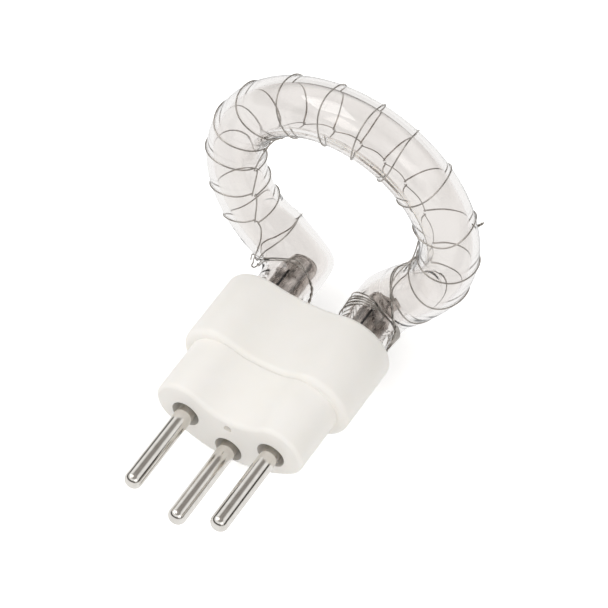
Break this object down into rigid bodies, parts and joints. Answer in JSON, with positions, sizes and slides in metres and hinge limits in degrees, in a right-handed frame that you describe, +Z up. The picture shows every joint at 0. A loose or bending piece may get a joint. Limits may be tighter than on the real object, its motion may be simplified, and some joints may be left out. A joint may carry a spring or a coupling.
{
  "type": "xenon flash tube",
  "caption": "Plug-in ring flash tube: moulded plug with round contact pins, bent clear glass ring with an electrode in each leg, and a trigger wire hitched round the glass.",
  "frame": {"origin": "middle of the plug's front face, on the line of the outer pins' axes", "axes": "the pins point along -Y, the glass legs leave the plug along +Y, X runs from the left to the right leg, and the ring stands up along +Z"},
  "size_m": [0.064, 0.0785, 0.0706],
  "materials": {
    "plug": "matt off-white moulding, smooth, softly rounded edges",
    "cement": "rough off-white potting cement",
    "glass": "clear, fire-polished",
    "seal": "clear graded sealing glass",
    "pin": "bright nickel-plated brass",
    "clip": "plain steel",
    "electrode": "dull grey rolled sheet, heat-tinted",
    "tungsten": "dark grey, dull",
    "copper": "bare copper",
    "wire": "thin dull bronze-grey trigger wire"
  },
  "bodies": {
    "root": {"anode_base_disc": "electrode", "anode_core": "tungsten", "anode_ferrule": "clip", "anode_lead": "copper", "anode_rod": "tungsten", "anode_seal": "seal", "anode_sleeve": "electrode", "cathode_base_disc": "electrode", "cathode_core": "tungsten", "cathode_ferrule": "clip", "cathode_lead": "copper", "cathode_rod": "tungsten", "cathode_seal": "seal", "cathode_sleeve": "electrode", "glass_tube": "glass", "pin_centre": "pin", "pin_clip_centre": "clip", "pin_clip_left": "clip", "pin_clip_right": "clip", "pin_left": "pin", "pin_right": "pin", "plug_body": "plug", "potting_cement": "cement", "trigger_binding": "wire", "trigger_tail_left": "wire", "trigger_tail_right": "wire", "trigger_wire": "wire"}
  },
  "joints": []
}
